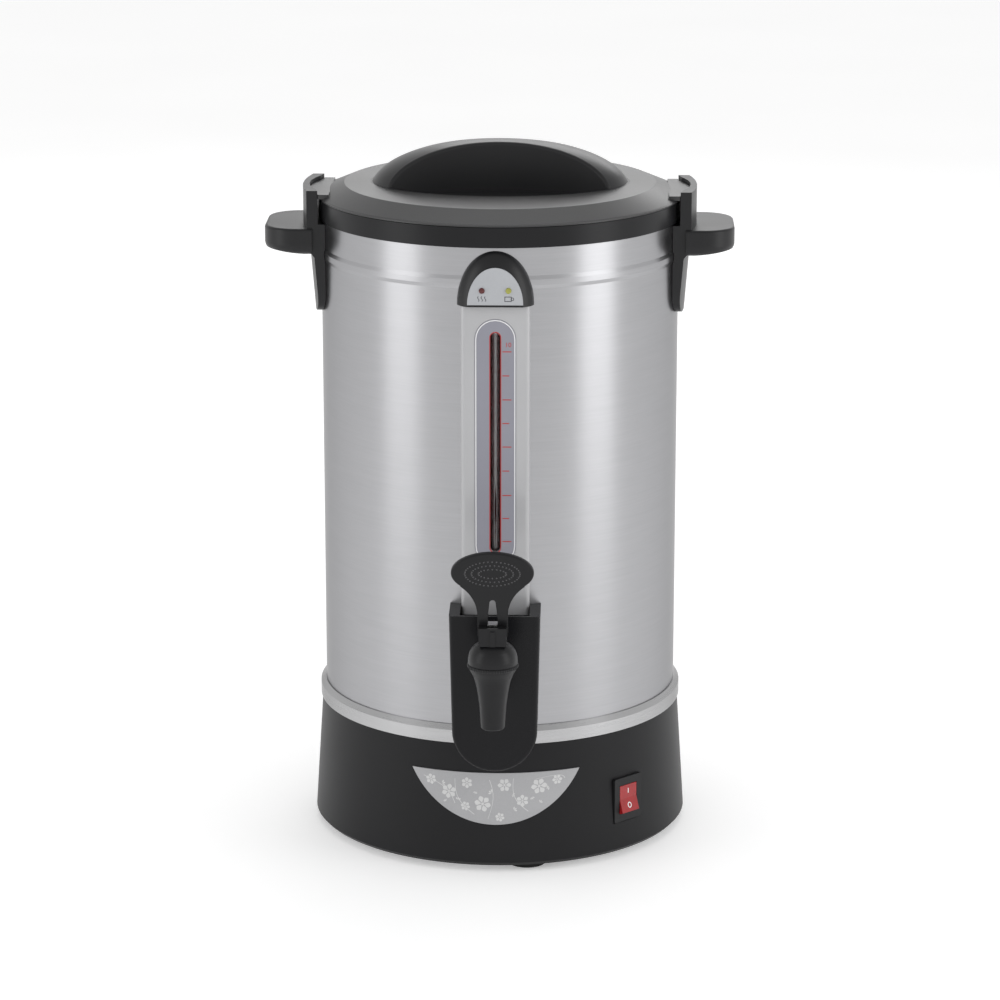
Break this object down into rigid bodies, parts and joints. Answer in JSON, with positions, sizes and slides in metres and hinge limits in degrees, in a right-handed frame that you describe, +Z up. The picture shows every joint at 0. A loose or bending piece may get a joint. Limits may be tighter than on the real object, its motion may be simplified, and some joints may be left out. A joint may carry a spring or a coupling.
{
  "type": "hot water urn",
  "caption": "Free-standing hot water urn with a lift-off lid, side grips, a lever tap, a sight gauge, lamps and a rocker switch on a wide base.",
  "frame": {"origin": "on the floor plane under the middle of the whole, tap included, 38.13 mm in front of the urn's own axis", "axes": "+Z up and parallel to the urn's axis, the tap and gauge face -Y, the grips lie along X"},
  "size_m": [0.314, 0.332, 0.4724],
  "materials": {
    "black_plastic": "satin black",
    "hood_plastic": "gloss black",
    "grip_plastic": "satin black",
    "handle_plastic": "satin black",
    "cover_plastic": "semi-gloss black",
    "shell_steel": "brushed round the body",
    "band_steel": "satin",
    "tank_steel": "dull",
    "plate_steel": "galvanised",
    "fastener_steel": "zinc plated",
    "foot_rubber": "matte",
    "seal_silicone": "translucent white",
    "lid_plastic": "satin light grey",
    "panel_plastic": "satin light grey",
    "lamp_red": "clear red",
    "lamp_green": "clear yellow-green",
    "gauge_silver": "silver",
    "scale_plate": "printed grey",
    "tube_clear": "clear",
    "trough_red": "red",
    "stem_steel": "turned",
    "tap_black": "gloss black",
    "badge_print": "printed floral on white",
    "switch_black": "matte",
    "rocker_red": "translucent red",
    "inlet_black": "matte",
    "pin_brass": "bright",
    "heater_aluminium": "cast",
    "element_steel": "annealed",
    "ceramic_white": "ceramic white"
  },
  "bodies": {
    "urn": {"base_housing": "black_plastic", "base_plate": "plate_steel", "rubber_feet": "foot_rubber", "foot_screws": "fastener_steel", "base_screws": "fastener_steel", "outer_shell": "shell_steel", "shell_band": "band_steel", "inner_tank": "tank_steel", "top_collar": "black_plastic", "right_handle": "handle_plastic", "left_handle": "handle_plastic", "handle_screws": "fastener_steel", "indicator_hood": "hood_plastic", "indicator_panel": "panel_plastic", "heating_lamp": "lamp_red", "keep_warm_lamp": "lamp_green", "gauge_cover": "gauge_silver", "gauge_scale_plate": "scale_plate", "sight_tube": "tube_clear", "gauge_trough": "trough_red", "gauge_seals": "seal_silicone", "gauge_tee": "black_plastic", "tap_cover": "cover_plastic", "tap_body": "tap_black", "tap_washers": "seal_silicone", "tap_nut": "fastener_steel", "tap_bonnet": "tap_black", "tap_spring": "stem_steel", "badge_plate": "badge_print", "switch_bezel": "switch_black", "power_inlet": "inlet_black", "inlet_pins": "pin_brass", "reset_bush": "switch_black", "heater_plate": "heater_aluminium", "heating_element": "element_steel", "thermal_cutout": "ceramic_white", "keep_warm_thermostat": "ceramic_white", "tie_rods": "fastener_steel", "tie_nuts": "fastener_steel", "terminal_block": "ceramic_white", "terminal_screws": "pin_brass", "earth_stud": "pin_brass"},
    "lid": {"lid_shell": "lid_plastic", "lid_grip": "grip_plastic", "lid_liner": "tank_steel", "lid_gasket": "seal_silicone", "lid_screws": "fastener_steel"},
    "tap_valve": {"tap_stem": "stem_steel", "tap_seat_cup": "seal_silicone"},
    "tap_handle": {"tap_lever": "tap_black", "tap_lever_pin": "stem_steel"},
    "rocker": {"switch_rocker": "rocker_red"},
    "reset": {"reset_button": "rocker_red"}
  },
  "joints": [
    {"name": "lid_lift", "type": "slide", "parent": "urn", "child": "lid", "axis": [0, 0, 1], "range_m": [0, 0.08]},
    {"name": "stem_slide", "type": "slide", "parent": "urn", "child": "tap_valve", "axis": [0, 0, 1], "range_m": [0, 0.0031], "deforming": ["tap_spring"]},
    {"name": "tap_lever_hinge", "type": "hinge", "parent": "tap_valve", "child": "tap_handle", "pos_m": [0, -0.14987, 0.1844], "axis": [-1, 0, 0], "range_deg": [0, 25], "stiffness_Nm_per_rad": 0.8},
    {"name": "rocker_swing", "type": "hinge", "parent": "urn", "child": "rocker", "pos_m": [0.08758, -0.05162, 0.0401], "axis": [0.7157, 0.6984, 0], "range_deg": [0, 18]},
    {"name": "reset_press", "type": "slide", "parent": "urn", "child": "reset", "axis": [-0.4695, -0.8829, 0], "range_m": [0, 0.0012], "stiffness_N_per_m": 900}
  ],
  "couplings": [
    {"joint": "stem_slide", "follows": "tap_lever_hinge", "m_per_rad": 0.00687}
  ]
}
